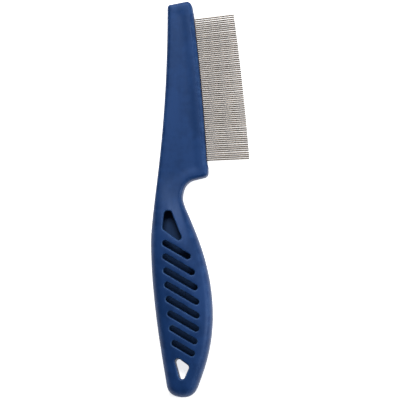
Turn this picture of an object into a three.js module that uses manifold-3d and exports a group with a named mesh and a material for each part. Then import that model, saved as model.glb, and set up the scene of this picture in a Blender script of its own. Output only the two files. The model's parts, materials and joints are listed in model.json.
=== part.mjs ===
// A flea comb: a moulded grip and head in two shells, and a row of fine steel pins set in a carrier strip.
// Millimetres. +Y runs from the handle end to the head tip, +X to the pin tips, +Z out of the front face.
// The pieces are drawn with the neck at y = 0 and the back on z = 0, and the comb is centred at the end.
import * as THREE from "three";
import { mergeVertices } from "three/addons/utils/BufferGeometryUtils.js";
import Module from "manifold-3d";

// Plan of the handle
const gripLength = 90; // neck to handle end
const headLength = 90; // neck to head tip
const gripBack = 22.3; // centre line to the back edge where the grip is widest
const gripBackBelow = 20; // that place, below the neck
const gripFront = 5.5; // centre line to the front edge where the grip is widest
const gripFrontBelow = 53;
const neckInset = 8.1; // the neck's front edge lies this far behind the centre line
const headBack = 14.9; // centre line to the back edge at the head tip
const heelRise = 9.2; // neck to the underside of the heel
const heelFront = 3.6; // centre line to the front of the heel
const heelCorner = 2.6;
const heelLength = 6.5; // its underside, which rises a little towards the front
const heelSlope = 0.9;
const heelEase = 0.4; // takes some of the squareness off the heel's corner
const tipInset = 3; // the head edge at its tip lies this far behind the centre line
const tipSlope = 10; // degrees
const tipCornerBack = 1.8;
const tipCornerFront = 2.6;
const tipLean = [0.6, 0.5]; // how far the front of the tip leans back below its corner, and in it
const edgeStep = 0.5; // the pin edge lies this far behind the heel
const edgeBow = 0.5; // how far the pin edge bows out
const buttBack = 7.3; // half widths of the handle end
const buttFront = 6.95;
const buttHeight = 5.5;
const buttCentre = 7.9; // the handle end lies this far behind the centre line
const buttTilts = [-81, 70]; // of its two sides, degrees
const throatTilt = 15; // of the curve up to the heel, where it meets the heel's underside

// How long each curve of the handle keeps its first and last headings, as shares of its span
const spinePull = [0.577, 0.156];
const backPull = [0.371, 0.173];
const frontPull = [0.519, 0.093];
const frontLowPull = [0.22, 0.467];
const buttPull = [0.42, 0.42];
const throatPull = [0.39, 0.4];

// Thickness
const headThickness = 7.6;
const gripThickness = 10.6;
const waistFrom = 12; // the face starts to rise here, above the neck
const waistTo = -22; // and is at its full height here
const headRound = 1.2;
const gripRound = 2.2;
const wall = 2; // of the hollow grip

// Slots of the grip, which slant across it between two rims
const slotWidth = 2.5;
const slotPitch = 6.09;
const slotTilt = -30.4; // degrees
const firstSlotBelow = 29.9; // where the first slot crosses the centre line, below the neck
const rimBack = 5.5; // handle edge to slot end
const rimFront = 5.45;
const openingBelow = 6.05; // top of the first, wide opening, below the neck
const openingRimBack = 5.2;
const openingRimFront = 6.4;
const openingCorner = 1.2;
const openingTilt = -36.5; // of its lower edge, degrees
const openingRib = 3.8; // between it and the first slot, at the back
const grooveDepth = 0.9; // of the same pattern on the back

// Hanging hole: a rounded triangle, its corners given from its middle
const holeAbove = 13.4; // its middle, above the handle end
const holeCorners = [[-4.3, 6], [-0.3, -8.1], [3.4, 0.3]];
const holeCorner = 1.4;
const holeRib = 3; // least solid left between the last slot and the hole's upper corner

// Pins, bent in pairs from one wire
const pinPitch = 0.912;
const pinGap = 0.212; // between neighbouring pins, which sets how fine the comb is
const pinDiameter = pinPitch - pinGap;
const pinRowFrom = 17.1; // first pin, above the neck
const pinRowEnd = 7.9; // last pin, below the head tip
const pinReachHeel = 19.3; // length outside the head
const pinReachTip = 18.4;
const pinTiltHeel = 2; // degrees
const pinTiltTip = 6.2;
const pinPoint = 0.5; // length of the tapered point
const pinPointShare = 0.4; // its end, as a share of the diameter
const pinSides = 6;
const bendSteps = 4;
const pinFit = 0.04;

// Carrier strip that the pins are threaded through, and the keeper behind their bends
const carrierSetBack = 0.6;
const carrierWall = 2.6;
const carrierHeight = 3.6;
const carrierFlange = 0.8;
const carrierEnd = 1.6; // beyond the first and last pin
const keeperDepth = 1.4;
const fit = 0.1; // clearance between pieces that slide together

// Pegs of the front shell, pressed into sockets of the rear one
const pegDiameter = 3;
const pegLength = 2;
const pegFromEdge = 3.8;
const pegMargin = 4;
const pegSpacing = 34;
const buttPeg = [5.4, 9.5]; // forward of the handle end's middle, and up from it

const roundShare = 0.45; // the most of a side that one rounded corner takes
const seam = headThickness / 2; // the shells part at the plane of the pins
const far = 2 * (gripLength + headLength);
const blue = { color: 0x1d4a8c, roughness: 0.42, metalness: 0 };
const darkBlue = { color: 0x173c74, roughness: 0.5, metalness: 0 };
const steel = { color: 0xa9a59f, roughness: 0.3, metalness: 1 };

const wasm = await Module();
wasm.setup();

const at = (x, y) => new THREE.Vector2(x, y);
const heading = (degrees) => {
  const angle = THREE.MathUtils.degToRad(degrees);
  return at(Math.cos(angle), Math.sin(angle));
};

// A closed three.js geometry as a solid that can be cut and joined.
function solid(geometry) {
  const bare = geometry.clone();
  bare.deleteAttribute("normal");
  bare.deleteAttribute("uv");
  const merged = mergeVertices(bare, 1e-4);
  return new wasm.Manifold(
    new wasm.Mesh({
      numProp: 3,
      vertProperties: merged.attributes.position.array,
      triVerts: new Uint32Array(merged.index.array),
    }),
  );
}

function named(name, made, finish) {
  const { vertProperties, triVerts } = made.getMesh();
  const geometry = new THREE.BufferGeometry();
  geometry.setAttribute("position", new THREE.BufferAttribute(vertProperties, 3));
  geometry.setIndex(new THREE.BufferAttribute(triVerts, 1));
  geometry.computeVertexNormals();
  const mesh = new THREE.Mesh(geometry, new THREE.MeshStandardMaterial(finish));
  mesh.name = name;
  return mesh;
}

// A plan shape raised from one height to another, with its edges rounded if asked.
function slab(shape, from, to, round = 0, curveSegments = 6) {
  const geometry = new THREE.ExtrudeGeometry(shape, {
    depth: to - from - 2 * round,
    curveSegments,
    bevelEnabled: round > 0,
    bevelThickness: round,
    bevelSize: round,
    bevelOffset: -round,
    bevelSegments: 3,
  });
  return solid(geometry.translate(0, 0, from + round));
}

// A smooth run between two points that leaves and arrives along given headings, in degrees.
function sweep(from, to, leave, arrive, pull) {
  const span = from.distanceTo(to);
  return new THREE.CubicBezierCurve(
    from,
    from.clone().addScaledVector(heading(leave), span * pull[0]),
    to.clone().addScaledVector(heading(arrive), -span * pull[1]),
    to,
  );
}

// A polygon with its corners rounded to a radius, given in order. A short side limits its corners.
function roundedPolygon(corners, radius) {
  const shape = new THREE.Shape();
  corners.forEach((corner, i) => {
    const before = corners.at(i - 1);
    const after = corners[(i + 1) % corners.length];
    const sides = [before, after].map((other) => other.clone().sub(corner));
    const turn = Math.PI - Math.acos(sides[0].dot(sides[1]) / (sides[0].length() * sides[1].length()));
    const shorter = Math.min(sides[0].length(), sides[1].length());
    const cut = Math.min(radius * Math.tan(turn / 2), roundShare * shorter);
    const handle = cut - ((4 / 3) * Math.tan(turn / 4) * cut) / Math.tan(turn / 2);
    const [start, end] = sides.map((side) => corner.clone().add(side.clone().setLength(cut)));
    const [leave, arrive] = sides.map((side) => corner.clone().add(side.clone().setLength(handle)));
    if (i === 0) shape.moveTo(start.x, start.y);
    else shape.lineTo(start.x, start.y);
    shape.bezierCurveTo(leave.x, leave.y, arrive.x, arrive.y, end.x, end.y);
  });
  shape.closePath();
  return shape;
}

// The long edges of the handle
const tipFall = (back) => headLength - back * Math.tan(THREE.MathUtils.degToRad(tipSlope));
const tipBack = tipFall(headBack - tipInset - tipCornerFront - tipCornerBack);
const spineTop = at(-headBack, tipBack - tipCornerBack);
const bellyBack = at(-gripBack, -gripBackBelow);
const bellyFront = at(gripFront, -gripFrontBelow);
const buttLeft = at(-buttCentre - buttBack, -gripLength + buttHeight);
const buttRight = at(-buttCentre + buttFront, -gripLength + buttHeight);
const butt = at(-buttCentre, -gripLength);
const neck = at(-neckInset, 0);
const heelStart = at(heelFront - heelLength, heelRise - heelSlope);
const spine = sweep(spineTop, bellyBack, -90, -90, spinePull);
const backEdge = sweep(bellyBack, buttLeft, -90, buttTilts[0], backPull);
const frontEdge = sweep(bellyFront, neck, 90, 90, frontPull);
const frontEdgeLow = sweep(buttRight, bellyFront, buttTilts[1], 90, frontLowPull);
const pinRowStart = at(heelFront - edgeStep, pinRowFrom - carrierEnd);
const pinRowTop = at(-tipInset, headLength - pinRowEnd + carrierEnd);
const pinEdge = new THREE.QuadraticBezierCurve(
  pinRowStart,
  pinRowStart.clone().lerp(pinRowTop, 0.5).add(at(2 * edgeBow, 0)),
  pinRowTop,
);

// The stretch of the outline that the grip and the head share, from the head tip round to the heel.
function gripEdges() {
  const shape = new THREE.Shape();
  shape.add(spine);
  shape.add(backEdge);
  shape.add(sweep(buttLeft, butt, buttTilts[0], 0, buttPull));
  shape.add(sweep(butt, buttRight, 0, buttTilts[1], buttPull));
  shape.add(frontEdgeLow);
  shape.add(frontEdge);
  shape.add(sweep(neck, heelStart, 90, throatTilt, throatPull));
  return shape;
}

function handleOutline() {
  const shape = gripEdges();
  const tipFront = at(pinRowTop.x - tipLean[0], headLength - tipCornerFront);
  const tipRight = at(tipFront.x - tipCornerFront, headLength);
  const tipLeft = at(tipCornerBack - headBack, tipBack);
  const heelRight = at(heelFront - heelCorner, heelRise);
  shape.add(new THREE.LineCurve(heelStart, heelRight));
  const heelTop = at(heelFront, heelRise + heelCorner);
  const stepTop = at(heelFront, pinRowStart.y);
  shape.add(new THREE.QuadraticBezierCurve(heelRight, at(heelFront, heelRise + heelEase), heelTop));
  shape.add(new THREE.LineCurve(heelTop, stepTop));
  shape.add(new THREE.LineCurve(stepTop, pinRowStart));
  shape.add(pinEdge);
  shape.add(new THREE.LineCurve(pinRowTop, tipFront));
  shape.add(new THREE.QuadraticBezierCurve(tipFront, at(tipFront.x - tipLean[1], headLength), tipRight));
  shape.add(new THREE.LineCurve(tipRight, tipLeft));
  shape.add(new THREE.QuadraticBezierCurve(tipLeft, at(-headBack, tipBack), spineTop));
  return shape;
}

// The side view of the grip, raised across its whole width: it swells out of the thin head at the waist.
function sideProfile(inset = 0) {
  const shape = new THREE.Shape();
  const top = gripThickness - inset;
  const low = headThickness - inset;
  const middle = (waistFrom + waistTo) / 2;
  shape.moveTo(-far, 0);
  shape.lineTo(waistFrom, 0);
  shape.lineTo(waistFrom, low);
  shape.bezierCurveTo(middle, low, middle, top, waistTo, top);
  shape.lineTo(-far, top);
  shape.closePath();
  const raised = { depth: 2 * far, bevelEnabled: false, curveSegments: 8 };
  const geometry = new THREE.ExtrudeGeometry(shape, raised);
  const turn = new THREE.Matrix4().makeBasis(
    new THREE.Vector3(0, 1, 0),
    new THREE.Vector3(0, 0, 1),
    new THREE.Vector3(1, 0, 0),
  );
  return solid(geometry.applyMatrix4(turn).translate(-far, 0, 0));
}

function handleBlank() {
  const grip = gripEdges();
  grip.add(new THREE.LineCurve(heelStart, at(heelStart.x, spineTop.y)));
  grip.closePath();
  const swollen = slab(grip, 0, gripThickness, gripRound, 12).intersect(sideProfile());
  return slab(handleOutline(), 0, headThickness, headRound).add(swollen);
}

// The points of one or more edges of the handle, moved inwards.
function inside(curves, inset) {
  return curves.flatMap((curve) =>
    curve.getPoints(16).map((point, i) => {
      const along = curve.getTangent(i / 16);
      return at(point.x - inset * along.y, point.y + inset * along.x);
    }),
  );
}
const insideBack = (inset) => inside([spine, backEdge], inset);
const insideFront = (inset) => inside([frontEdgeLow, frontEdge], inset);

// How far a point lies above a line through a place at a tilt in degrees.
const above = (point, line) => point.clone().sub(line.through).dot(heading(line.tilt + 90));

// Where a run of points crosses a line.
function crossing(points, line) {
  for (let i = 1; i < points.length; i++) {
    const from = above(points[i - 1], line);
    const to = above(points[i], line);
    if (from * to > 0 || from === to) continue;
    return points[i - 1].clone().lerp(points[i], from / (from - to));
  }
  throw new Error("an edge of the grip does not reach a line drawn across it");
}

// The stretch of a run of points between two lines across the grip, from the upper to the lower one.
function stretch(points, upper, lower) {
  const kept = points.filter((point) => above(point, upper) < 0 && above(point, lower) > 0);
  kept.sort((a, b) => b.y - a.y);
  return [crossing(points, upper), ...kept, crossing(points, lower)];
}

const slotLine = (number, lowered = 0) => ({
  through: at(0, -firstSlotBelow - number * slotPitch - lowered),
  tilt: slotTilt,
});
const upright = 1 / Math.cos(THREE.MathUtils.degToRad(slotTilt)); // a slanted width, measured straight down
const holeMiddle = at(-buttCentre, holeAbove - gripLength);
const holeShape = roundedPolygon(holeCorners.map(([x, y]) => at(x, y).add(holeMiddle)), holeCorner);
const holeCentreLine = holeMiddle.clone().add(at(...holeCorners[0]));
const slotRoom = -above(holeCentreLine, slotLine(0)) - holeRib - slotWidth / 2;
const slotCount = Math.floor((slotRoom * upright) / slotPitch) + 1;

// One slanted slot with round ends, between the rims of the grip.
function slotShape(number) {
  const radius = slotWidth / 2;
  const back = crossing(insideBack(rimBack + radius), slotLine(number));
  const front = crossing(insideFront(rimFront + radius), slotLine(number));
  const turned = THREE.MathUtils.degToRad(slotTilt);
  const shape = new THREE.Shape();
  shape.absarc(front.x, front.y, radius, turned - Math.PI / 2, turned + Math.PI / 2);
  shape.absarc(back.x, back.y, radius, turned + Math.PI / 2, turned + (3 * Math.PI) / 2);
  shape.closePath();
  return shape;
}

// The wide opening above the first slot, which fills the grip up to the neck.
function openingShape() {
  const top = { through: at(0, -openingBelow), tilt: 0 };
  const low = crossing(insideBack(openingRimBack), slotLine(0, -(slotWidth / 2 + openingRib) * upright));
  const corners = [
    crossing(insideBack(openingRimBack), top),
    low,
    crossing(insideFront(openingRimFront), { through: low, tilt: openingTilt }),
    crossing(insideFront(openingRimFront), top),
  ];
  return roundedPolygon(corners, openingCorner);
}

// The hollow of the grip, from under the first opening to behind the last slot.
function hollowShape() {
  const top = { through: at(0, wall - openingBelow), tilt: 0 };
  const bottom = slotLine(slotCount - 1, (slotWidth / 2 + wall / 2) * upright);
  const back = stretch(insideBack(wall), top, bottom);
  const front = stretch(insideFront(wall), top, bottom);
  return new THREE.Shape([...back, ...front.reverse()]);
}

// A strip along the pin edge between two depths behind it, trimmed at both ends.
function edgeStrip(outer, inner, trim) {
  const length = pinEdge.getLength();
  const run = (inset) =>
    Array.from({ length: 9 }, (_, i) => {
      const share = (trim + ((length - 2 * trim) * i) / 8) / length;
      const held = THREE.MathUtils.clamp(share, 0, 1);
      const along = pinEdge.getTangentAt(held);
      const inward = at(-along.y, along.x).multiplyScalar(inset);
      return pinEdge.getPointAt(held).add(inward).addScaledVector(along, (share - held) * length);
    });
  return new THREE.Shape([...run(outer), ...run(inner).reverse()]);
}

const bendRoom = fit + pinPitch / 2 + pinDiameter / 2 + fit;
const troughFrom = carrierSetBack + carrierWall;
const keeperFrom = troughFrom + bendRoom;
const carrierBack = keeperFrom + keeperDepth + fit;
const band = (height) => [seam - height / 2, seam + height / 2];

// The pins' row: each pair's middle on the pin edge, its heading and its length outside the head.
const rowLength = pinEdge.getLength() - 2 * carrierEnd;
const pairCount = Math.floor((Math.floor(rowLength / pinPitch) + 1) / 2);
const pairs = Array.from({ length: pairCount }, (_, i) => {
  const share = i / (pairCount - 1);
  const along = pinEdge.getLength() / 2 + (2 * i - pairCount + 1) * pinPitch;
  return {
    root: pinEdge.getPointAt(along / pinEdge.getLength()),
    tilt: THREE.MathUtils.lerp(pinTiltHeel, pinTiltTip, share),
    reach: THREE.MathUtils.lerp(pinReachHeel, pinReachTip, share),
  };
});

// A wire from point to point round a half-circle bend, with stations only where it turns or tapers.
class HairpinPath extends THREE.Curve {
  constructor(length) {
    super();
    const radius = pinPitch / 2;
    const bend = Array.from({ length: bendSteps + 1 }, (_, i) => {
      const angle = Math.PI / 2 + (Math.PI * i) / bendSteps;
      return new THREE.Vector3(radius * Math.cos(angle), radius * Math.sin(angle), 0);
    });
    const leg = (y) => [new THREE.Vector3(length, y, 0), new THREE.Vector3(length - pinPoint, y, 0)];
    this.stations = [...leg(radius), ...bend, ...leg(-radius).reverse()];
  }
  get steps() {
    return this.stations.length - 1;
  }
  getPoint(t) {
    const place = THREE.MathUtils.clamp(t, 0, 1) * this.steps;
    const from = Math.min(Math.floor(place), this.steps - 1);
    return this.stations[from].clone().lerp(this.stations[from + 1], place - from);
  }
  getUtoTmapping(u) {
    return u;
  }
}

function pinPair({ root, tilt, reach }) {
  const buried = troughFrom + fit;
  const path = new HairpinPath(buried + reach);
  const ring = Array.from({ length: pinSides }, (_, i) =>
    heading((360 * i) / pinSides).multiplyScalar(pinDiameter / 2),
  );
  const geometry = new THREE.ExtrudeGeometry(new THREE.Shape(ring), {
    steps: path.steps,
    extrudePath: path,
    bevelEnabled: false,
  });
  const corners = geometry.attributes.position;
  for (let i = 0; i < corners.count; i++) {
    if (corners.getX(i) < buried + reach - pinPoint / 2) continue;
    const leg = (Math.sign(corners.getY(i)) * pinPitch) / 2;
    corners.setY(i, leg + (corners.getY(i) - leg) * pinPointShare);
    corners.setZ(i, corners.getZ(i) * pinPointShare);
  }
  return solid(placed(geometry, root, tilt, -buried));
}

// A shape drawn along +X is turned to a tilt and set on the pin edge, moved along itself.
function placed(geometry, root, tilt, shift) {
  const place = root.clone().addScaledVector(heading(tilt), shift);
  return geometry.rotateZ(THREE.MathUtils.degToRad(tilt)).translate(place.x, place.y, seam);
}

// The straight channels of one pair through the carrier's wall.
function pinChannels({ root, tilt }) {
  const radius = pinDiameter / 2 + pinFit;
  return [-1, 1].map((side) => {
    const channel = new THREE.CylinderGeometry(radius, radius, 3 * carrierBack, pinSides);
    channel.rotateZ(-Math.PI / 2).rotateX(Math.PI / 2).translate(0, (side * pinPitch) / 2, 0);
    return solid(placed(channel, root, tilt, 0));
  });
}

function carrierStrip() {
  const hollow = edgeStrip(troughFrom, 2 * carrierBack, -carrierEnd);
  const trough = slab(hollow, ...band(carrierHeight - 2 * carrierFlange));
  const strip = slab(edgeStrip(carrierSetBack, carrierBack, fit), ...band(carrierHeight)).subtract(trough);
  return pairs.flatMap(pinChannels).reduce((made, channel) => made.subtract(channel), strip);
}

function keeperStrip() {
  const height = carrierHeight - 2 * carrierFlange - 2 * fit;
  return slab(edgeStrip(keeperFrom, keeperFrom + keeperDepth, 2 * fit), ...band(height));
}

function carrierPocket() {
  return slab(edgeStrip(-carrierBack, carrierBack + fit, 0), ...band(carrierHeight + 2 * fit));
}

// Pegs stand along the back of the head, and one beside the hanging hole.
function pegPlaces() {
  const count = Math.floor((headLength - 2 * pegMargin) / pegSpacing) + 1;
  const head = Array.from({ length: count }, (_, i) =>
    crossing(insideBack(pegFromEdge), { through: at(0, pegMargin + i * pegSpacing), tilt: 0 }),
  );
  return [...head, at(buttPeg[0] - buttCentre, buttPeg[1] - gripLength)];
}

function peg(place, diameter, length) {
  const post = new THREE.CylinderGeometry(diameter / 2, diameter / 2, length + 1, 12);
  return solid(post.rotateX(Math.PI / 2).translate(place.x, place.y, seam + (1 - length) / 2));
}

// The half of the handle on one side of the seam: 1 is the front, -1 the back.
function half(side) {
  const block = new THREE.BoxGeometry(far, 2 * far, far).translate(0, 0, seam + (side * far) / 2);
  return handleBlank()
    .intersect(solid(block))
    .subtract(slab(holeShape, -1, gripThickness + 1))
    .subtract(carrierPocket());
}

function frontShell() {
  const hollow = slab(hollowShape(), seam - 1, gripThickness).intersect(sideProfile(wall));
  const openings = [openingShape(), ...Array.from({ length: slotCount }, (_, i) => slotShape(i))];
  const cut = openings.reduce((made, shape) => made.subtract(slab(shape, seam, gripThickness + 1)), half(1));
  return pegPlaces().reduce(
    (made, place) => made.add(peg(place, pegDiameter, pegLength)),
    cut.subtract(hollow),
  );
}

function rearShell() {
  const grooves = [openingShape(), ...Array.from({ length: slotCount }, (_, i) => slotShape(i))];
  const cut = grooves.reduce((made, shape) => made.subtract(slab(shape, -1, grooveDepth)), half(-1));
  return pegPlaces().reduce(
    (made, place) => made.subtract(peg(place, pegDiameter + 2 * fit, pegLength + fit)),
    cut.subtract(slab(hollowShape(), wall, seam + 1)),
  );
}

const comb = new THREE.Group();
comb.add(named("front_shell", frontShell(), blue));
comb.add(named("rear_shell", rearShell(), blue));
comb.add(named("pin_carrier", carrierStrip(), darkBlue));
comb.add(named("pin_keeper", keeperStrip(), darkBlue));
pairs.forEach((pair, i) => {
  comb.add(named("pin_pair_" + String(i + 1).padStart(2, "0"), pinPair(pair), steel));
});

const extent = new THREE.Box3().setFromObject(comb);
const middle = extent.getCenter(new THREE.Vector3());
comb.position.set(-middle.x, -middle.y, -extent.min.z);

const fleaComb = new THREE.Group();
fleaComb.add(comb);
export default fleaComb;
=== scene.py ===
# Flea comb: two moulded shells, a carrier strip and steel pins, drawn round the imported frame.
import json
import math
import bmesh
import bpy
import numpy as np
from mathutils import Matrix, Vector
from mathutils.geometry import delaunay_2d_cdt

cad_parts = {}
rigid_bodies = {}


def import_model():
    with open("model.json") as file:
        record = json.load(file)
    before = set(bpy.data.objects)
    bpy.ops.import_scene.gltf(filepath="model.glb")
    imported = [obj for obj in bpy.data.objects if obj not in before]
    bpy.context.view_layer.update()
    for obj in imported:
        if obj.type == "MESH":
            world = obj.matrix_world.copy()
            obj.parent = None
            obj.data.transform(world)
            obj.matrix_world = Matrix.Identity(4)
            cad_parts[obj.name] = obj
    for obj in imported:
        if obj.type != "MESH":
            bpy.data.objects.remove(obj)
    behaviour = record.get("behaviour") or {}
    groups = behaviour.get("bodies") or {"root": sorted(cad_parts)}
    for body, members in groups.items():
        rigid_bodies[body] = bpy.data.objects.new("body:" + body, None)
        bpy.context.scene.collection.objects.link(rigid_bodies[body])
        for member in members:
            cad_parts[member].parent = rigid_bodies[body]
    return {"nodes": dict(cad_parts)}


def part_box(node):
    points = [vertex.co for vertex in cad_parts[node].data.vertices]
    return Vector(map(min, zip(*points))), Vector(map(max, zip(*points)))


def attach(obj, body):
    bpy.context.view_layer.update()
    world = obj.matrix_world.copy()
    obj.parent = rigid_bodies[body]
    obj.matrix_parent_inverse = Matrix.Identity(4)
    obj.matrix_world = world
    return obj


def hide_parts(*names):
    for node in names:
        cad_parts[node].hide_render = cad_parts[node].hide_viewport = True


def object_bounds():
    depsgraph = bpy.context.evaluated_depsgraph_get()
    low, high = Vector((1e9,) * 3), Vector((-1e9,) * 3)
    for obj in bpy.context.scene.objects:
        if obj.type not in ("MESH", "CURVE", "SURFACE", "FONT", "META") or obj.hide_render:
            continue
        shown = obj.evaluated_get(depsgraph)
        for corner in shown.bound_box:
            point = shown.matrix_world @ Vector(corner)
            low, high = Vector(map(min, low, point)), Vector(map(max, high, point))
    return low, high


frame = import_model()
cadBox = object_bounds()
print("frame loaded:", len(frame["nodes"]), "nodes")

mm = 0.001
gripBack = 22.3  # plan sizes in mm, neck at y = 0
gripLength = 90
headLength = 90
planShift = np.array([cadBox[0].x / mm + gripBack, cadBox[0].y / mm + gripLength])
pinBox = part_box("pin_pair_01")
seamHeight = (pinBox[0].z + pinBox[1].z) / 2 / mm  # the shells part at the plane of the pins
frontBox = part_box("front_shell")


# camera and light

cameraSet = dict(lens=238.4, distance=1.2, aside=5.0, below=5.5, frameX=-0.0003, frameY=-0.0050)


def makeCamera():
    middle = (cadBox[0] + cadBox[1]) / 2
    a = math.radians(cameraSet["aside"])
    b = math.radians(cameraSet["below"])
    away = Vector((math.tan(a), -math.tan(b), 1)).normalized()
    data = bpy.data.cameras.new("camera")
    data.lens = cameraSet["lens"]
    data.shift_x = cameraSet["frameX"]
    data.shift_y = cameraSet["frameY"]
    camera = bpy.data.objects.new("camera", data)
    camera.location = middle + away * cameraSet["distance"]
    side = Vector((0, 1, 0)).cross(away).normalized()
    up = away.cross(side)
    camera.rotation_mode = "QUATERNION"
    camera.rotation_quaternion = Matrix((side, up, away)).transposed().to_quaternion()
    bpy.context.scene.collection.objects.link(camera)
    bpy.context.scene.camera = camera


lightSet = dict(
    world=0.14,
    lamps=(  # place in metres, size in metres, power in watts
        ((0.02, 0.56, 0.93), (0.40, 0.40), 7.5),
        ((-0.10, 1.10, 0.50), (0.7, 0.3), 3.5),
        ((0.85, -0.05, 0.60), (0.4, 0.6), 5.0),
    ),
)


def makeLights():
    world = bpy.data.worlds.new("studio")
    world.use_nodes = True
    world.node_tree.nodes["Background"].inputs[0].default_value = (1, 1, 1, 1)
    world.node_tree.nodes["Background"].inputs[1].default_value = lightSet["world"]
    bpy.context.scene.world = world
    for number, (place, size, power) in enumerate(lightSet["lamps"]):
        data = bpy.data.lights.new(f"softbox{number}", "AREA")
        data.shape = "RECTANGLE"
        data.size, data.size_y = size
        data.energy = power
        lamp = bpy.data.objects.new(f"softbox{number}", data)
        lamp.location = place
        lamp.rotation_mode = "QUATERNION"
        lamp.rotation_quaternion = Vector(place).to_track_quat("Z", "Y")
        bpy.context.scene.collection.objects.link(lamp)
    bpy.context.scene.view_settings.view_transform = "Standard"


makeCamera()
makeLights()
print("camera and lights made")


# shader helpers

class Wire:
    # a socket that can be used in sums

    def __init__(self, recipe, socket):
        self.recipe = recipe
        self.socket = socket

    def maths(self, operation, first, second=None):
        inputs = {0: first} if second is None else {0: first, 1: second}
        return self.recipe.add("ShaderNodeMath", {"operation": operation}, inputs)

    def __add__(self, other):
        return self.maths("ADD", self, other)

    __radd__ = __add__

    def __mul__(self, other):
        return self.maths("MULTIPLY", self, other)

    __rmul__ = __mul__

    def __sub__(self, other):
        return self.maths("SUBTRACT", self, other)

    def __rsub__(self, other):
        return self.maths("SUBTRACT", other, self)


class Recipe:
    # a material and the one way its nodes are added

    def __init__(self, name):
        self.material = bpy.data.materials.new(name)
        self.material.use_nodes = True
        self.tree = self.material.node_tree
        self.shader = self.tree.nodes["Principled BSDF"]
        self.place = self.add("ShaderNodeTexCoord", out="Object")

    def add(self, kind, settings=None, inputs=None, out=0):
        node = self.tree.nodes.new(kind)
        for name, value in (settings or {}).items():
            setattr(node, name, value)
        for name, value in (inputs or {}).items():
            self.feed(node.inputs[name], value)
        return Wire(self, node.outputs[out])

    def feed(self, socket, value):
        if isinstance(value, Wire):
            self.tree.links.new(value.socket, socket)
        else:
            socket.default_value = value

    def noise(self, size, detail=2.0, roughness=0.5, stretch=(1, 1, 1)):
        # size is the feature size in mm
        spread = self.add("ShaderNodeMapping", inputs={"Vector": self.place, "Scale": stretch})
        values = {"Vector": spread, "Scale": 1 / (size * mm), "Detail": detail, "Roughness": roughness}
        return self.add("ShaderNodeTexNoise", inputs=values)

    def band(self, value, low, high):
        # 0 below low, 1 above high, smooth between
        settings = {"interpolation_type": "SMOOTHSTEP", "clamp": True}
        return self.add("ShaderNodeMapRange", settings, {"Value": value, "From Min": low, "From Max": high})

    def blend(self, share, first, second):
        return self.add("ShaderNodeMix", {"data_type": "RGBA"}, {0: share, 6: first, 7: second}, out=2)

    def attribute(self, name):
        return self.add("ShaderNodeAttribute", {"attribute_name": name}, out="Fac")

    def bump(self, height, distance, strength=1.0, under=None):
        values = {"Height": height, "Distance": distance * mm, "Strength": strength}
        if under is not None:
            values["Normal"] = under
        return self.add("ShaderNodeBump", inputs=values)

    def surface(self, **values):
        for name, value in values.items():
            self.feed(self.shader.inputs[name.replace("_", " ")], value)
        return self.material


# plan curves

def heading(degrees):
    return np.array([math.cos(math.radians(degrees)), math.sin(math.radians(degrees))])


def bezier(p0, p1, p2, p3, count=60):
    t = np.linspace(0, 1, count)[:, None]
    return (1 - t) ** 3 * p0 + 3 * (1 - t) ** 2 * t * p1 + 3 * (1 - t) * t * t * p2 + t ** 3 * p3


def sweep(start, end, leave, arrive, pull):
    # a smooth run between two points along two headings, which it keeps for two shares of its span
    start = np.array(start, float)
    end = np.array(end, float)
    span = np.linalg.norm(end - start)
    return bezier(start, start + heading(leave) * span * pull[0],
                  end - heading(arrive) * span * pull[1], end)


def curveThrough(start, corner, end, count=14):
    t = np.linspace(0, 1, count)[:, None]
    start, corner, end = (np.array(p, float) for p in (start, corner, end))
    return (1 - t) ** 2 * start + 2 * (1 - t) * t * corner + t * t * end


def evenly(points, spacing, closed=True):
    # the same line with points a set distance apart
    points = np.array(points)
    keep = np.r_[True, np.linalg.norm(np.diff(points, axis=0), axis=1) > 1e-6]
    points = points[keep]
    if closed:
        points = np.vstack([points, points[:1]])
    along = np.r_[0, np.cumsum(np.linalg.norm(np.diff(points, axis=0), axis=1))]
    count = max(8, round(along[-1] / spacing))
    at = np.linspace(0, along[-1], count + 1)
    if closed:
        at = at[:-1]
    return np.column_stack([np.interp(at, along, points[:, k]) for k in (0, 1)])


def normals(loop):
    # unit normals pointing to the left of a closed loop, which is inward when it runs anticlockwise
    along = np.roll(loop, -1, 0) - np.roll(loop, 1, 0)
    along /= np.linalg.norm(along, axis=1)[:, None]
    return np.column_stack([-along[:, 1], along[:, 0]])


def smoothLoop(values, reach):
    # a moving average round a loop, where reach is in points
    kernel = np.hanning(2 * reach + 3)[1:-1]
    padded = np.concatenate([values[-reach:], values, values[:reach]])
    return np.convolve(padded, kernel / kernel.sum(), "valid")


def distanceTo(loop, points):
    # shortest distance from points to a closed loop
    a, b = loop, np.roll(loop, -1, 0)
    best = np.full(len(points), 1e9)
    for first in range(0, len(points), 800):
        p = points[first:first + 800, None, :]
        share = np.clip(((p - a) * (b - a)).sum(2) / ((b - a) ** 2).sum(1), 0, 1)
        away = p - (a + share[:, :, None] * (b - a))
        best[first:first + 800] = np.sqrt((away ** 2).sum(2).min(1))
    return best


def isInside(loop, points):
    x, y = points[:, 0][:, None], points[:, 1][:, None]
    ax, ay = loop[:, 0], loop[:, 1]
    bx, by = np.roll(ax, -1), np.roll(ay, -1)
    cross = (ay > y) != (by > y)
    with np.errstate(divide="ignore", invalid="ignore"):
        at = (bx - ax) * (y - ay) / (by - ay) + ax
    return (cross & (x < at)).sum(1) % 2 == 1


def smooth(value, low, high):
    t = np.clip((np.asarray(value, float) - low) / (high - low), 0, 1)
    return t * t * (3 - 2 * t)


# handle plan, the same curves as the frame's shells

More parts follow.
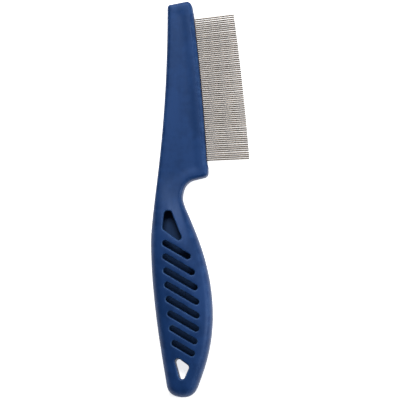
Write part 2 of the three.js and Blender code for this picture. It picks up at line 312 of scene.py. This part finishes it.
plan = dict(
    gripBackBelow=20, gripFront=5.5, gripFrontBelow=53, neckInset=8.1, headBack=14.9,
    heelRise=9.2, heelFront=3.6, heelCorner=2.6, heelLength=6.5, heelSlope=0.9, heelEase=0.4,
    tipInset=3.0, tipSlope=10, tipCornerBack=1.8, tipCornerFront=2.6, tipLean=(0.6, 0.5),
    edgeStep=0.5, edgeBow=0.5, stepReach=2.2, throatTilt=15,
    buttBack=7.3, buttFront=6.95, buttHeight=5.5, buttCentre=7.9, buttTilts=(-81, 70),
    spinePull=(0.577, 0.156), backPull=(0.371, 0.173), buttPull=(0.42, 0.42),
    frontLowPull=(0.22, 0.467), frontPull=(0.519, 0.093), throatPull=(0.39, 0.4), stepPull=(0.5, 0.5),
    pinRowFrom=17.1, pinRowEnd=7.9, carrierEnd=1.6,
    slotWidth=2.5, slotPitch=6.09, slotTilt=-30.4, firstSlotBelow=29.9, slotCount=8,
    rimBack=5.5, rimFront=5.45, openingBelow=6.05, openingRimBack=5.2, openingRimFront=6.4,
    openingCorner=1.2, openingTilt=-36.5, openingRib=3.8,
    holeAbove=13.4, holeCorners=((-4.3, 6.0), (-0.3, -8.1), (3.4, 0.3)), holeCorner=1.4,
    roundShare=0.45, wall=2.0,
)
pinRowStart = np.array([plan["heelFront"] - plan["edgeStep"], plan["pinRowFrom"] - plan["carrierEnd"]])
pinRowTop = np.array([-plan["tipInset"], headLength - plan["pinRowEnd"] + plan["carrierEnd"]])
pinRowBow = (pinRowStart + pinRowTop) / 2 + np.array([2 * plan["edgeBow"], 0])


def longEdges():
    # the back and front edges of the grip, and the way round its end
    p = plan
    tipWidth = p["headBack"] - p["tipInset"] - p["tipCornerFront"] - p["tipCornerBack"]
    tipBack = headLength - tipWidth * math.tan(math.radians(p["tipSlope"]))
    spineTop = (-p["headBack"], tipBack - p["tipCornerBack"])
    bellyBack = (-gripBack, -p["gripBackBelow"])
    bellyFront = (p["gripFront"], -p["gripFrontBelow"])
    buttLeft = (-p["buttCentre"] - p["buttBack"], p["buttHeight"] - gripLength)
    buttRight = (-p["buttCentre"] + p["buttFront"], p["buttHeight"] - gripLength)
    butt = (-p["buttCentre"], -gripLength)
    neck = (-p["neckInset"], 0)
    downTilt, upTilt = p["buttTilts"]
    back = np.vstack([
        sweep(spineTop, bellyBack, -90, -90, p["spinePull"]),
        sweep(bellyBack, buttLeft, -90, downTilt, p["backPull"]),
    ])
    end = np.vstack([
        sweep(buttLeft, butt, downTilt, 0, p["buttPull"]),
        sweep(butt, buttRight, 0, upTilt, p["buttPull"]),
    ])
    front = np.vstack([
        sweep(buttRight, bellyFront, upTilt, 90, p["frontLowPull"]),
        sweep(bellyFront, neck, 90, 90, p["frontPull"]),
    ])
    return back, end, front, spineTop, tipBack


def handleOutline():
    p = plan
    back, end, front, spineTop, tipBack = longEdges()
    heelStart = (p["heelFront"] - p["heelLength"], p["heelRise"] - p["heelSlope"])
    heelRight = (p["heelFront"] - p["heelCorner"], p["heelRise"])
    heelTop = (p["heelFront"], p["heelRise"] + p["heelCorner"])
    stepFoot = (p["heelFront"], pinRowStart[1] - p["stepReach"])
    tipFront = (pinRowTop[0] - p["tipLean"][0], headLength - p["tipCornerFront"])
    tipRight = (tipFront[0] - p["tipCornerFront"], headLength)
    tipLeft = (p["tipCornerBack"] - p["headBack"], tipBack)
    pinStretch = curveThrough(pinRowStart, pinRowBow, pinRowTop, 80)[2:]
    return np.vstack([
        back, end, front,
        sweep((-p["neckInset"], 0), heelStart, 90, p["throatTilt"], p["throatPull"]),
        curveThrough(heelRight, (p["heelFront"], p["heelRise"] + p["heelEase"]), heelTop),
        sweep(stepFoot, pinStretch[0], 90, 90, p["stepPull"]),
        pinStretch,
        curveThrough(tipFront, (tipFront[0] - p["tipLean"][1], headLength), tipRight),
        curveThrough(tipLeft, (-p["headBack"], tipBack), spineTop),
    ])


def insideLine(line, inset):
    along = np.gradient(line, axis=0)
    along /= np.linalg.norm(along, axis=1)[:, None]
    return line + inset * np.column_stack([-along[:, 1], along[:, 0]])


def height(points, through, tilt):
    return (np.asarray(points) - through) @ heading(tilt + 90)


def crossing(line, through, tilt):
    side = height(line, through, tilt)
    at = np.nonzero(side[:-1] * side[1:] <= 0)[0][0]
    return line[at] + (line[at + 1] - line[at]) * side[at] / (side[at] - side[at + 1])


def slotLine(number, lowered=0.0):
    return np.array([0, -plan["firstSlotBelow"] - number * plan["slotPitch"] - lowered])


def roundedPolygon(corners, radius):
    # corners rounded to a radius, less where a side is short
    corners = [np.array(c, float) for c in corners]
    out = []
    for i, corner in enumerate(corners):
        sides = [corners[i - 1] - corner, corners[(i + 1) % len(corners)] - corner]
        lengths = [np.linalg.norm(side) for side in sides]
        turn = math.pi - math.acos(sides[0] @ sides[1] / (lengths[0] * lengths[1]))
        cut = min(radius * math.tan(turn / 2), plan["roundShare"] * min(lengths))
        handle = cut - 4 / 3 * math.tan(turn / 4) * cut / math.tan(turn / 2)
        ways = [side / length for side, length in zip(sides, lengths)]
        ends = [corner + way * cut for way in ways]
        handles = [corner + way * handle for way in ways]
        out.append(bezier(ends[0], handles[0], handles[1], ends[1], 16))
    return np.vstack(out)


def slotLoop(number):
    p = plan
    radius = p["slotWidth"] / 2
    back, _, front, _, _ = longEdges()
    left = crossing(insideLine(back, p["rimBack"] + radius), slotLine(number), p["slotTilt"])
    right = crossing(insideLine(front, p["rimFront"] + radius), slotLine(number), p["slotTilt"])
    turn = math.radians(p["slotTilt"])
    half = np.linspace(-math.pi / 2, math.pi / 2, 17)
    ends = []
    for middle, start in ((right, turn), (left, turn + math.pi)):
        ends.append(middle + radius * np.column_stack([np.cos(half + start), np.sin(half + start)]))
    return np.vstack(ends)


def openingLoop():
    p = plan
    top = np.array([0, -p["openingBelow"]])
    back, _, front, _, _ = longEdges()
    above = (p["slotWidth"] / 2 + p["openingRib"]) / math.cos(math.radians(p["slotTilt"]))
    inBack = insideLine(back, p["openingRimBack"])
    inFront = insideLine(front, p["openingRimFront"])
    low = crossing(inBack, slotLine(0, -above), p["slotTilt"])
    corners = [
        crossing(inBack, top, 0),
        low,
        crossing(inFront, low, p["openingTilt"]),
        crossing(inFront, top, 0),
    ]
    return roundedPolygon(corners, p["openingCorner"])


def holeLoop():
    middle = np.array([-plan["buttCentre"], plan["holeAbove"] - gripLength])
    return roundedPolygon([middle + c for c in plan["holeCorners"]], plan["holeCorner"])


def hollowLoop():
    # the hollow of the grip, down to a slanted end behind the last slot
    p = plan
    back, _, front, _, _ = longEdges()
    top = np.array([0, p["wall"] - p["openingBelow"]])
    under = (p["slotWidth"] / 2 + p["wall"] / 2) / math.cos(math.radians(p["slotTilt"]))
    bottom = slotLine(p["slotCount"] - 1, under)
    sides = []
    for line in (back, front):
        inner = insideLine(line, p["wall"])
        kept = inner[(height(inner, top, 0) < 0) & (height(inner, bottom, p["slotTilt"]) > 0)]
        kept = kept[np.argsort(-kept[:, 1])]
        sides.append(np.vstack([crossing(inner, top, 0), kept, crossing(inner, bottom, p["slotTilt"])]))
    return np.vstack([sides[0], sides[1][::-1]])


outline = evenly(handleOutline(), 0.5)
slots = [evenly(slotLoop(i), 0.35) for i in range(plan["slotCount"])]
opening = evenly(openingLoop(), 0.35)
hole = evenly(holeLoop(), 0.35)
hollow = evenly(hollowLoop(), 1.0)
print("handle plan drawn:", len(outline), "outline points")


# shells

shellSet = dict(
    faceGrip=frontBox[1].z / mm, faceHead=7.6, waistFrom=12, waistTo=-22,
    buttDrop=1.3, buttFrom=55, crown=2.0, crownReach=10.0, dish=0.30, dishFrom=2.0, dishTo=6.0,
    roundHead=(1.7, 1.6), roundPins=(2.3, 1.5), roundGrip=(3.0, 2.6), roundRear=(1.7, 1.5),
    roundChange=(-6, 14), tightShare=0.8, pinSide=-4.5, pinSideBelow=4, seamGroove=0.16,
    slotRound=0.6, holeRound=0.8, grooveDepth=0.9, grooveRound=0.4,
    pocketHeight=1.9, pocketDepth=5.81, rings=7, grid=1.15, gridRow=0.87, gridClear=0.4,
    # edgeShade to lipShade set painted shade: how far the outer rims, hole, grooves, pocket and seam lip
    # turn to the dark shade colour
    # rimWearAndHighlight puts pale rubbed wear on the rims round the slots, opening and hole, which also
    # serves as a painted highlight line on the slot edges
    edgeWear=1.6, rimWearAndHighlight=4, edgeShade=0.8, holeShade=0.3, grooveShade=0.6, pocketShade=0.8, lipShade=0.2,
)


def frontHeight(points, away):
    # the front face above the seam: thin head, swelling grip, soft crown on the grip and a dish in the head
    s = shellSet
    rise = smooth(-points[:, 1], -s["waistFrom"], -s["waistTo"])
    head = s["faceHead"] - seamHeight
    grip = s["faceGrip"] - seamHeight
    level = head + (grip - head) * rise - s["buttDrop"] * smooth(-points[:, 1], s["buttFrom"], gripLength)
    level = level - s["crown"] * rise * np.clip(1 - away / s["crownReach"], 0, 1) ** 2
    return level - s["dish"] * (1 - rise) * smooth(away, s["dishFrom"], s["dishTo"])


def rearHeight(points, away):
    return np.full(len(points), seamHeight)


def filletSizes(loop, front):
    # the width and drop of the rounded edge at each point of the outline
    s = shellSet
    if not front:
        width, drop = (np.full(len(loop), v) for v in s["roundRear"])
    else:
        grip = smooth(-loop[:, 1], *s["roundChange"])[:, None]
        values = np.array(s["roundHead"]) * (1 - grip) + np.array(s["roundGrip"]) * grip
        low = pinRowStart[1] - s["pinSideBelow"]
        onPins = (loop[:, 0] > s["pinSide"]) & (loop[:, 1] > low) & (loop[:, 1] < pinRowTop[1])
        values[onPins] = s["roundPins"]
        width, drop = values.T
    ahead = np.roll(loop, -1, 0) - loop
    turn = np.arctan2(ahead[:, 1], ahead[:, 0])
    bend = (turn - np.roll(turn, 1) + math.pi) % (2 * math.pi) - math.pi
    bend = smoothLoop(bend, 2)
    radius = np.linalg.norm(ahead, axis=1) / np.maximum(bend, 1e-3)
    tight = np.minimum(width, s["tightShare"] * radius)
    tight = np.min([np.roll(tight, k) for k in range(-3, 4)], axis=0)
    return smoothLoop(tight, 6), smoothLoop(drop, 8)


class Solid:
    # points and faces of one closed piece, in plan coordinates and heights above the seam

    def __init__(self):
        self.points = []
        self.faces = []
        self.edge = []
        self.shade = []

    # edge holds pale wear, which on the rims round cuts is also a painted highlight; shade holds painted
    # shade
    def ring(self, plane, heights, edge=0.0, shade=0.0):
        first = len(self.points)
        heights = np.broadcast_to(heights, len(plane))
        self.points += [(x, y, h) for (x, y), h in zip(plane, heights)]
        self.edge += [edge] * len(plane)
        self.shade += [shade] * len(plane)
        return list(range(first, first + len(plane)))

    def strip(self, first, second, closed=True):
        last = len(first) if closed else len(first) - 1
        for i in range(last):
            j = (i + 1) % len(first)
            self.faces.append((first[i], first[j], second[j], second[i]))

    def fill(self, loops, inner=(), heightOf=None, shade=0.0):
        # a face inside the first loop and outside the others, with extra points that give it its shape
        known = [i for loop in loops for i in loop]
        plane = [Vector(self.points[i][:2]) for i in known]
        edges = []
        first = 0
        for loop in loops:
            edges += [(first + k, first + (k + 1) % len(loop)) for k in range(len(loop))]
            first += len(loop)
        plane += [Vector(p) for p in inner]
        corners, lines, triangles, came, lineCame, _ = delaunay_2d_cdt(plane, edges, [], 0, 1e-7)
        if len(inner):
            known += self.ring(np.array(inner), heightOf(np.array(inner)), 0.0, shade)
        fixed = {frozenset(line) for line, source in zip(lines, lineCame) if source}
        beside = {}
        for number, (a, b, c) in enumerate(triangles):
            for side in ((a, b), (b, c), (c, a)):
                beside.setdefault(frozenset(side), []).append(number)
        flat = np.array([corners[v] for v in range(len(corners))])
        three = flat[np.array(triangles)]
        area = np.abs(np.cross(three[:, 1] - three[:, 0], three[:, 2] - three[:, 0]))
        ring = np.array([self.points[i][:2] for i in loops[0]])
        area[~isInside(ring, three.mean(1))] = 0
        for loop in loops[1:]:
            area[isInside(np.array([self.points[i][:2] for i in loop]), three.mean(1))] = 0
        found = set()
        waiting = [int(area.argmax())]
        while waiting:  # from one triangle out to the rings
            number = waiting.pop()
            if number in found:
                continue
            found.add(number)
            a, b, c = triangles[number]
            for side in (frozenset((a, b)), frozenset((b, c)), frozenset((c, a))):
                if side not in fixed:
                    waiting += beside[side]
        self.faces += [tuple(known[came[v][0]] for v in triangles[number]) for number in sorted(found)]

    def toObject(self, name, upwards):
        mesh = bpy.data.meshes.new(name)
        flat = np.array(self.points)
        flat[:, :2] += planShift
        flat[:, 2] = seamHeight + upwards * flat[:, 2]
        mesh.from_pydata((flat * mm).tolist(), [], self.faces)
        for label, values in (("edge", self.edge), ("shade", self.shade)):
            mesh.attributes.new(label, "FLOAT", "POINT").data.foreach_set("value", values)
        work = bmesh.new()
        work.from_mesh(mesh)
        bmesh.ops.recalc_face_normals(work, faces=work.faces)
        if work.calc_volume(signed=True) < 0:
            bmesh.ops.reverse_faces(work, faces=work.faces)
        loose = sum(1 for e in work.edges if not e.is_manifold)
        work.to_mesh(mesh)
        work.free()
        mesh.shade_smooth()
        mesh.set_sharp_from_angle(angle=math.radians(40))
        print(name, len(mesh.vertices), "points,", loose, "open edges")
        piece = bpy.data.objects.new(name, mesh)
        bpy.context.scene.collection.objects.link(piece)
        return piece


def growRim(solid, loop, radius, heightOf, shade):
    # rings from the flat face over the rounded rim to the top of the wall; a loop runs anticlockwise
    s = shellSet
    outward = -normals(loop)
    made = []
    for k in range(s["rings"]):
        share = k / (s["rings"] - 1)
        angle = math.pi / 2 * k / (s["rings"] - 1)
        place = loop + outward * radius * (1 - math.sin(angle))
        level = heightOf(place) - radius * (1 - math.cos(angle))
        # rim points carry pale wear peaking mid-rim, which also serves as a painted highlight line, and
        # painted shade growing towards the wall
        made.append(solid.ring(place, level, s["rimWearAndHighlight"] * share * (1 - share), shade * share))
    for first, second in zip(made, made[1:]):
        solid.strip(first, second)
    return made[0], made[-1]


def buildShell(name, front):
    s = shellSet
    solid = Solid()
    surface = frontHeight if front else rearHeight

    def heightOf(points):
        return surface(points, distanceTo(outline, points))

    # rounded outer edge, from the flat face outwards
    width, drop = filletSizes(outline, front)
    inward = normals(outline)
    edgeRings = []
    for k in range(s["rings"]):
        share = k / (s["rings"] - 1)
        angle = math.pi / 2 * k / (s["rings"] - 1)
        place = outline + inward * (width * (1 - math.sin(angle)))[:, None]
        level = heightOf(place) - drop * (1 - math.cos(angle))
        paleEdge = s["edgeWear"] * share * (1 - share)
        # the outer rim darkens with painted shade towards the wall
        edgeRings.append(solid.ring(place, level, paleEdge, s["edgeShade"] * share ** 2))
    for first, second in zip(edgeRings, edgeRings[1:]):
        solid.strip(first, second)

    # slots, wide opening and hanging hole
    holeTop, holeWall = growRim(solid, hole, s["holeRound"], heightOf, s["holeShade"])
    cutRound = s["slotRound"] if front else s["grooveRound"]
    # slot and opening rims get full painted shade at the wall
    cuts = [growRim(solid, loop, cutRound, heightOf, 1.0) for loop in [opening, *slots]]

    # the face between them
    low = outline.min(0)
    high = outline.max(0)
    xs = np.arange(low[0], high[0], s["grid"])
    ys = np.arange(low[1], high[1], s["grid"] * s["gridRow"])
    grid = np.array([(x + (row % 2) * s["grid"] / 2, y) for row, y in enumerate(ys) for x in xs])
    grid = grid[isInside(outline, grid)]
    grid = grid[distanceTo(outline, grid) > width.max() + s["gridClear"]]
    for loop in [hole, opening, *slots]:
        grid = grid[~isInside(loop, grid)]
        grid = grid[distanceTo(loop, grid) > s["slotRound"] + s["gridClear"]]
    solid.fill([edgeRings[0], holeTop, *[top for top, wall in cuts]], grid, heightOf)

    # hollow side
    # the hollow's walls, feet and ceilings carry full painted shade
    hollowFoot = solid.ring(hollow, 0.0, 0, 1.0)
    if front:
        feet = [solid.ring(loop, heightOf(loop) - plan["wall"], 0, 1.0) for loop in [opening, *slots]]
        for (_, wall), foot in zip(cuts, feet):
            solid.strip(wall, foot)
        ceiling = solid.ring(hollow, heightOf(hollow) - plan["wall"], 0, 1.0)
        solid.fill([ceiling, *feet])
    else:
        for (_, wall), loop in zip(cuts, [opening, *slots]):
            floor = solid.ring(loop, heightOf(loop) - s["grooveDepth"], 0, s["grooveShade"])
            solid.strip(wall, floor)
            solid.fill([floor])
        ceiling = solid.ring(hollow, heightOf(hollow) - plan["wall"], 0, 1.0)
        solid.fill([ceiling])
    solid.strip(ceiling, hollowFoot)

    # pocket for the carrier, open at the pin edge
    wall = edgeRings[-1]
    onPins = [i for i, (x, y) in enumerate(outline)
              if x > s["pinSide"] and pinRowStart[1] <= y <= pinRowTop[1]]
    pins = outline[onPins]
    ceilingOut = solid.ring(pins, s["pocketHeight"])
    inner = pins + normals(outline)[onPins] * s["pocketDepth"]
    # painted shade inside the carrier pocket and along the seam lip
    ceilingIn = solid.ring(inner, s["pocketHeight"], 0, s["pocketShade"])
    footIn = solid.ring(inner, 0.0, 0, s["pocketShade"])
    solid.strip([wall[i] for i in onPins], ceilingOut, closed=False)
    solid.strip(ceilingOut, ceilingIn, closed=False)
    solid.strip(ceilingIn, footIn, closed=False)
    rest = [i % len(outline) for i in range(onPins[-1], onPins[0] + len(outline) + 1)]
    lip = solid.ring(outline[rest], s["seamGroove"], 0, s["lipShade"])
    foot = solid.ring(outline[rest] + inward[rest] * s["seamGroove"], 0.0, 0, 1.0)
    solid.strip([wall[i] for i in rest], lip, closed=False)
    solid.strip(lip, foot, closed=False)
    for end, last in ((0, -1), (-1, 0)):
        pocketEnd = (ceilingOut[end], ceilingIn[end], footIn[end])
        solid.faces.append((wall[onPins[end]], *pocketEnd, foot[last], lip[last]))

    # seam face
    holeFoot = solid.ring(hole, 0.0, 0, s["holeShade"])
    solid.strip(holeWall, holeFoot)
    solid.fill([foot + footIn, hollowFoot, holeFoot])
    return solid.toObject(name, 1 if front else -1)


frontShell = buildShell("front_moulding", True)
rearShell = buildShell("rear_moulding", False)


# blue plastic

plasticSet = dict(
    # the pale worn blue marks rubbed edges, and on the slot rims it is also a painted highlight line
    deep=(0.005, 0.027, 0.104, 1), pale=(0.008, 0.037, 0.138, 1), wornAndHighlight=(0.05, 0.12, 0.27, 1),
    # the dark blue on the next line is painted shade for the slots, hole, hollow and outer rims
    paintedShade=(0.010, 0.028, 0.072, 1), sheen=(0.40, 0.58, 1.0, 1), index=1.45, roughness=0.42,
    mottle=14.0, cloud=3.5, flow=2.2, scratch=0.9, grain=0.35,  # feature sizes in mm
    paleEdge=0.8, paintedShadeShare=0.65,
)


def makePlastic(name, settings):
    r = Recipe(name)
    mottle = r.noise(settings["mottle"], 3)
    cloud = r.noise(settings["cloud"], 4, 0.6)
    grain = r.noise(settings["grain"], 2, 0.6)
    flow = r.noise(settings["flow"], 3, 0.55, (1, 0.12, 1))
    edge = r.attribute("edge")
    shade = r.attribute("shade")
    tone = r.band(mottle * 0.6 + cloud * 0.25 + flow * 0.15, 0.38, 0.62)
    colour = r.blend(tone, settings["deep"], settings["pale"])
    # pale rubbed edges, which on the slot rims are also a painted highlight line
    wornAndHighlight = edge * r.band(cloud * 0.5 + grain * 0.5, 0.45, 0.62)
    colour = r.blend(wornAndHighlight * settings["paleEdge"], colour, settings["wornAndHighlight"])
    # painted shade: the colour turns to dark blue where the shade attribute is set, in slots, hole, hollow
    # and on the outer rims
    colour = r.blend(r.band(shade, 0.05, 1.0) * settings["paintedShadeShare"], colour, settings["paintedShade"])
    scratch = r.band(r.noise(settings["scratch"], 2, 0.5, (1, 0.04, 1)), 0.66, 0.72)
    rough = settings["roughness"] + (tone - 0.5) * 0.06 + (grain - 0.5) * 0.10
    rough = rough + scratch * 0.10 + shade * 0.12
    relief = r.bump(grain, 0.02, 0.35)
    relief = r.bump(cloud + flow, 0.03, 0.25, relief)
    relief = r.bump(scratch, 0.01, 0.2, relief)
    return r.surface(Base_Color=colour, Roughness=rough, Normal=relief, IOR=settings["index"],
                     Specular_Tint=settings["sheen"])


bluePlastic = makePlastic("blue_plastic", plasticSet)
for piece in (frontShell, rearShell):
    piece.data.materials.append(bluePlastic)


# steel pins

pinSet = dict(
    diameter=0.70, pitch=0.912, pairs=36, reachHeel=19.3, reachTip=18.4, tiltHeel=2.0, tiltTip=6.2,
    buried=3.3, point=0.4, blunt=0.12, sides=10, rings=7, unevenTilt=0.2, seed=4,
    dark=(0.066, 0.054, 0.045, 1), bright=(0.22, 0.186, 0.155, 1),
)


def makeSteel():
    r = Recipe("drawn_steel")
    tone = r.attribute("tone")
    streak = r.noise(0.16, 2, 0.6, (0.03, 1, 1))
    patch = r.noise(5.0, 3, 0.6, (0.5, 1, 1))
    light = r.band(streak * 0.65 + patch * 0.25 + tone * 0.1, 0.3, 0.7)
    colour = r.blend(light, pinSet["dark"], pinSet["bright"])
    rough = 0.26 + streak * 0.16 + (patch - 0.5) * 0.1
    return r.surface(Base_Color=colour, Roughness=rough, Metallic=1.0, Normal=r.bump(streak, 0.01, 0.3))


class NodeTree:
    # a geometry node tree and the one way its nodes are added

    def __init__(self, name):
        self.tree = bpy.data.node_groups.new(name, "GeometryNodeTree")
        self.ids = {}
        self.tree.interface.new_socket("Geometry", in_out="OUTPUT", socket_type="NodeSocketGeometry")

    def input(self, name, kind, value):
        socket = self.tree.interface.new_socket(name, in_out="INPUT", socket_type=kind)
        socket.default_value = value
        self.ids[name] = (socket.identifier, value)

    def start(self):
        self.given = self.tree.nodes.new("NodeGroupInput")

    def value(self, name):
        return self.given.outputs[name]

    def add(self, kind, settings=None, inputs=None, out=0):
        node = self.tree.nodes.new(kind)
        for name, value in (settings or {}).items():
            setattr(node, name, value)
        for name, value in (inputs or {}).items():
            if isinstance(value, bpy.types.NodeSocket):
                self.tree.links.new(value, node.inputs[name])
            else:
                node.inputs[name].default_value = value
        return node.outputs[out]

    def maths(self, operation, first, second=0.0):
        return self.add("ShaderNodeMath", {"operation": operation}, {0: first, 1: second})

    def remap(self, value, low, high, toLow, toHigh):
        inputs = {"Value": value, "From Min": low, "From Max": high, "To Min": toLow, "To Max": toHigh}
        return self.add("ShaderNodeMapRange", {"clamp": True}, inputs)


def pinRowTree():
    s = pinSet
    g = NodeTree("pinRow")
    lengths = dict(
        Radius=s["diameter"] / 2, Pitch=s["pitch"], Reach=s["reachHeel"], Buried=s["buried"],
        Point=s["point"],
    )
    for name, value in lengths.items():
        g.input(name, "NodeSocketFloat", value * mm)
    g.input("Tip share", "NodeSocketFloat", s["reachTip"] / s["reachHeel"])
    g.input("Tilt at heel", "NodeSocketFloat", math.radians(s["tiltHeel"]))
    g.input("Tilt at tip", "NodeSocketFloat", math.radians(s["tiltTip"]))
    g.input("Uneven tilt", "NodeSocketFloat", math.radians(s["unevenTilt"]))
    g.input("Pairs", "NodeSocketInt", s["pairs"])
    g.input("Seed", "NodeSocketInt", s["seed"])
    g.start()

    # one leg: a wire from the bend to a rounded point
    index = g.add("GeometryNodeInputIndex")
    share = g.maths("DIVIDE", index, s["rings"] - 1)
    length = g.maths("ADD", g.value("Reach"), g.value("Buried"))
    past = g.maths("SUBTRACT", length, g.value("Point"))
    onPoint = g.remap(index, 1, s["rings"] - 1, 0.0, math.pi / 2)
    along = g.maths("ADD", past, g.maths("MULTIPLY", g.value("Point"), g.maths("SINE", onPoint)))
    along = g.maths("MULTIPLY", along, g.maths("GREATER_THAN", share, 0.001))
    line = g.add("GeometryNodeCurvePrimitiveLine", inputs={"Start": (0, 0, 0), "End": (1, 0, 0)})
    line = g.add("GeometryNodeResampleCurve", inputs={"Curve": line, "Count": s["rings"]})
    half = g.maths("MULTIPLY", g.value("Pitch"), 0.5)
    radius = g.maths("MAXIMUM", g.maths("COSINE", onPoint), s["blunt"])
    profile = g.add("GeometryNodeCurvePrimitiveCircle", {"mode": "RADIUS"},
                    {"Resolution": s["sides"], "Radius": g.value("Radius")})
    legs = []
    for side in (1, -1):
        aside = g.maths("MULTIPLY", half, side)
        place = g.add("ShaderNodeCombineXYZ", inputs={"X": along, "Y": aside, "Z": 0.0})
        leg = g.add("GeometryNodeSetPosition", inputs={"Geometry": line, "Position": place})
        leg = g.add("GeometryNodeSetCurveRadius", inputs={"Curve": leg, "Radius": radius})
        skin = {"Curve": leg, "Profile Curve": profile, "Fill Caps": True}
        legs.append(g.add("GeometryNodeCurveToMesh", inputs=skin))

    # the bend that joins two legs
    bend = g.add("GeometryNodeCurveArc", {"mode": "RADIUS"},
                 {"Resolution": 9, "Radius": half, "Start Angle": math.pi / 2, "Sweep Angle": math.pi})
    skin = {"Curve": bend, "Profile Curve": profile, "Fill Caps": True}
    bend = g.add("GeometryNodeCurveToMesh", inputs=skin)
    join = g.tree.nodes.new("GeometryNodeJoinGeometry")
    for part in (*legs, bend):
        g.tree.links.new(part, join.inputs[0])

    # pairs stand evenly along the pin edge and fan out
    points = [Vector(((p + planShift) * mm).tolist() + [seamHeight * mm]) for p in pinLine()]
    edge = g.add("GeometryNodeCurveQuadraticBezier",
                 inputs={"Resolution": 64, "Start": points[0], "Middle": points[1], "End": points[2]})
    row = g.add("GeometryNodeResampleCurve", inputs={"Curve": edge, "Count": g.value("Pairs")})
    number = g.add("GeometryNodeInputIndex")
    last = g.maths("SUBTRACT", g.value("Pairs"), 1)
    tilt = g.remap(number, 0, last, g.value("Tilt at heel"), g.value("Tilt at tip"))
    stretch = g.remap(number, 0, last, 1.0, g.value("Tip share"))
    uneven = g.add("FunctionNodeRandomValue", {"data_type": "FLOAT"},
                   {"Min": -1.0, "Max": 1.0, "ID": number, "Seed": g.value("Seed")}, out=1)
    tilt = g.maths("ADD", tilt, g.maths("MULTIPLY", uneven, g.value("Uneven tilt")))
    turn = g.add("ShaderNodeCombineXYZ", inputs={"X": 0.0, "Y": 0.0, "Z": tilt})
    size = g.add("ShaderNodeCombineXYZ", inputs={"X": stretch, "Y": 1.0, "Z": 1.0})
    placed = g.add("GeometryNodeInstanceOnPoints",
                   inputs={"Points": row, "Instance": join.outputs[0], "Rotation": turn, "Scale": size})
    tone = g.add("FunctionNodeRandomValue", {"data_type": "FLOAT"},
                 {"Min": 0.0, "Max": 1.0, "ID": number, "Seed": s["seed"] + 1}, out=1)
    placed = g.add("GeometryNodeStoreNamedAttribute", {"data_type": "FLOAT", "domain": "INSTANCE"},
                   {"Geometry": placed, "Name": "tone", "Value": tone})
    solid = g.add("GeometryNodeRealizeInstances", inputs={"Geometry": placed})
    solid = g.add("GeometryNodeSetShadeSmooth", inputs={"Geometry": solid})
    solid = g.add("GeometryNodeSetMaterial", inputs={"Geometry": solid, "Material": steel})
    end = g.tree.nodes.new("NodeGroupOutput")
    g.tree.links.new(solid, end.inputs[0])
    return g


def pinLine():
    # the line of the bends, which lies inside the head behind the pin edge
    s = pinSet
    edge = curveThrough(pinRowStart, pinRowBow, pinRowTop, 401)
    length = np.r_[0, np.cumsum(np.linalg.norm(np.diff(edge, axis=0), axis=1))]
    span = (s["pairs"] - 1) * 2 * s["pitch"]
    ends = [(length[-1] - span) / 2, length[-1] / 2, (length[-1] + span) / 2]
    tilts = [s["tiltHeel"], (s["tiltHeel"] + s["tiltTip"]) / 2, s["tiltTip"]]
    places = []
    for at, tilt in zip(ends, tilts):
        root = np.array([np.interp(at, length, edge[:, k]) for k in (0, 1)])
        places.append(root - heading(tilt) * s["buried"])
    places[1] = 2 * places[1] - (places[0] + places[2]) / 2
    return places


def makePins():
    g = pinRowTree()
    mesh = bpy.data.meshes.new("pinRowStart")
    maker = bpy.data.objects.new("pinRowMaker", mesh)
    bpy.context.scene.collection.objects.link(maker)
    modifier = maker.modifiers.new("pins", "NODES")
    modifier.node_group = g.tree
    for identifier, value in g.ids.values():
        modifier[identifier] = value
    shown = maker.evaluated_get(bpy.context.evaluated_depsgraph_get())
    made = bpy.data.meshes.new_from_object(shown)
    maker.modifiers.clear()
    bpy.data.objects.remove(maker)
    made.name = "steel_pins"
    work = bmesh.new()
    work.from_mesh(made)
    bmesh.ops.remove_doubles(work, verts=work.verts, dist=1e-7)
    bmesh.ops.recalc_face_normals(work, faces=work.faces)
    work.to_mesh(made)
    work.free()
    pins = bpy.data.objects.new("steel_pins", made)
    bpy.context.scene.collection.objects.link(pins)
    print("steel_pins", len(made.polygons), "faces")
    return pins


steel = makeSteel()
pins = makePins()


# carrier and keeper keep their own shapes

carrierSet = dict(plasticSet, deep=(0.008, 0.032, 0.11, 1), roughness=0.45)
carrierPlastic = makePlastic("carrier_plastic", carrierSet)
for node in ("pin_carrier", "pin_keeper"):
    coats = frame["nodes"][node].data.materials
    coats.clear()
    coats.append(carrierPlastic)


# floor

floorSet = dict(
    half=1.5, gap=0.0001,  # metres
    cloud=40, dull=(0.93, 0.93, 0.93, 1), bright=(0.96, 0.96, 0.96, 1), roughness=0.9, glow=0.82,
)


def makeFloor():
    s = floorSet
    mesh = bpy.data.meshes.new("floor")
    half = s["half"]
    z = cadBox[0].z - s["gap"]
    corners = [(-half, -half, z), (half, -half, z), (half, half, z), (-half, half, z)]
    mesh.from_pydata(corners, [], [(0, 1, 2, 3)])
    floor = bpy.data.objects.new("floor", mesh)
    bpy.context.scene.collection.objects.link(floor)
    r = Recipe("floor_white")
    cloud = r.noise(s["cloud"], 2)
    colour = r.blend(cloud, s["dull"], s["bright"])
    coat = r.surface(Base_Color=colour, Roughness=s["roughness"], Emission_Color=colour,
                     Emission_Strength=s["glow"])
    floor.data.materials.append(coat)


makeFloor()
print("floor made")


# ride on the frame

for piece, slot, nodes in (
    (frontShell, "handle_plastic", ["front_shell"]),
    (rearShell, "handle_plastic", ["rear_shell"]),
    (pins, "steel", sorted(n for n in frame["nodes"] if n.startswith("pin_pair_"))),
):
    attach(piece, "root")
    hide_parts(*nodes)
